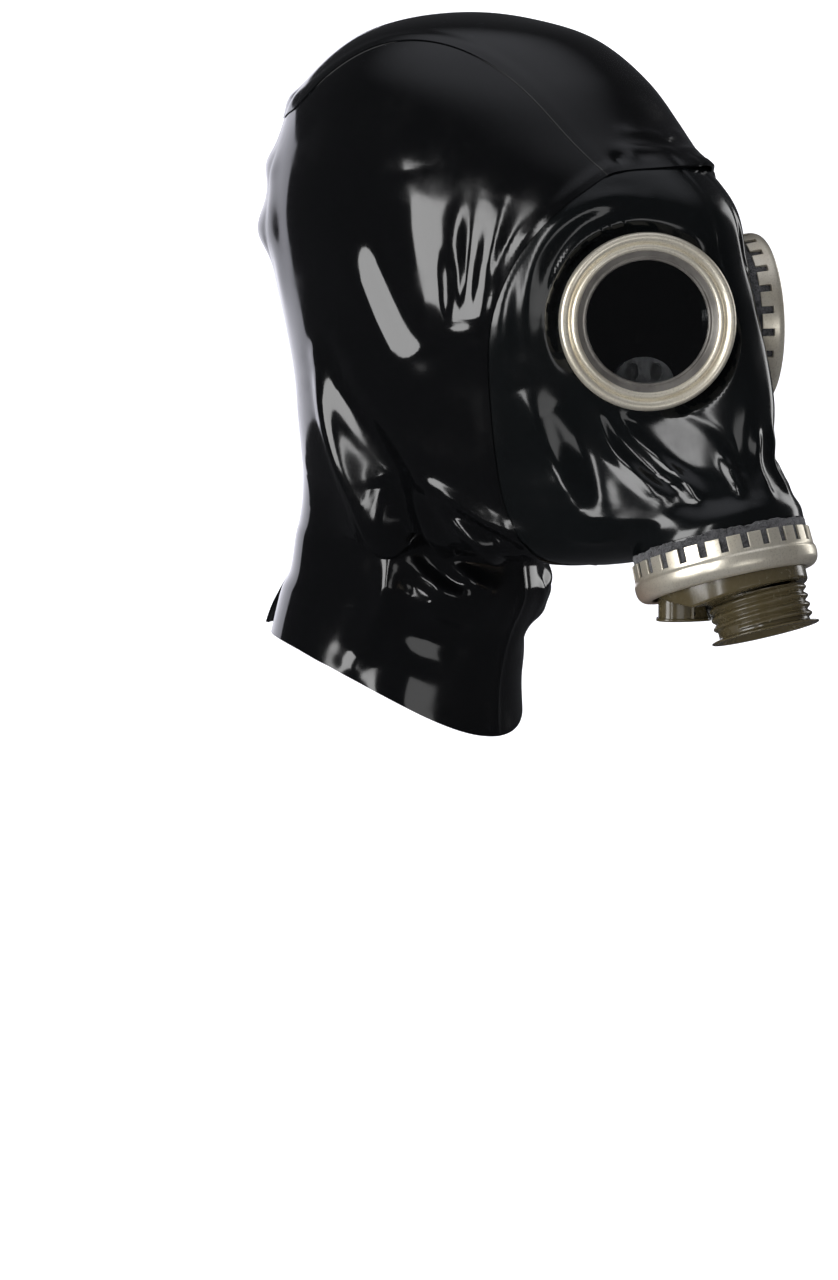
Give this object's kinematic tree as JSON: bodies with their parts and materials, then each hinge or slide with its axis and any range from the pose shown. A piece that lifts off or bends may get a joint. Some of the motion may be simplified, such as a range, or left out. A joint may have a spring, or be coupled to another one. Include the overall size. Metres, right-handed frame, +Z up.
{
  "type": "gas mask hood",
  "caption": "Glossy latex hood with a moulded face piece, round eyepieces in metal clamps and a valve box with a threaded inlet.",
  "frame": {"origin": "inner top of the crown, where the head holds the hood up", "axes": "-Y the way the face looks, +Z up, +X the wearer's left"},
  "size_m": [0.1602, 0.2631, 0.2993],
  "materials": {
    "latex": "high gloss black latex sheet",
    "face_rubber": "glossy black moulded rubber",
    "clamp_metal": "worn pale gold nickel plate",
    "tape": "fibrous dark grey cloth tape",
    "lens_glass": "clear glass",
    "retainer_metal": "dull grey metal",
    "olive_paint": "glossy dark olive paint",
    "duct_rubber": "matt dark rubber"
  },
  "bodies": {
    "root": {"crown_panel": "latex", "side_panel_right": "latex", "side_panel_left": "latex", "rear_band": "latex", "face_piece": "face_rubber", "eye_clamp_right": "clamp_metal", "eye_clamp_left": "clamp_metal", "eye_tape_right": "tape", "eye_tape_left": "tape", "lens_right": "lens_glass", "lens_left": "lens_glass", "lens_retainer_right": "retainer_metal", "lens_retainer_left": "retainer_metal", "air_duct_right": "duct_rubber", "air_duct_left": "duct_rubber", "valve_clamp": "clamp_metal", "valve_tape": "tape", "valve_housing": "olive_paint", "inlet_connector": "olive_paint", "exhale_cap": "olive_paint"}
  },
  "joints": []
}
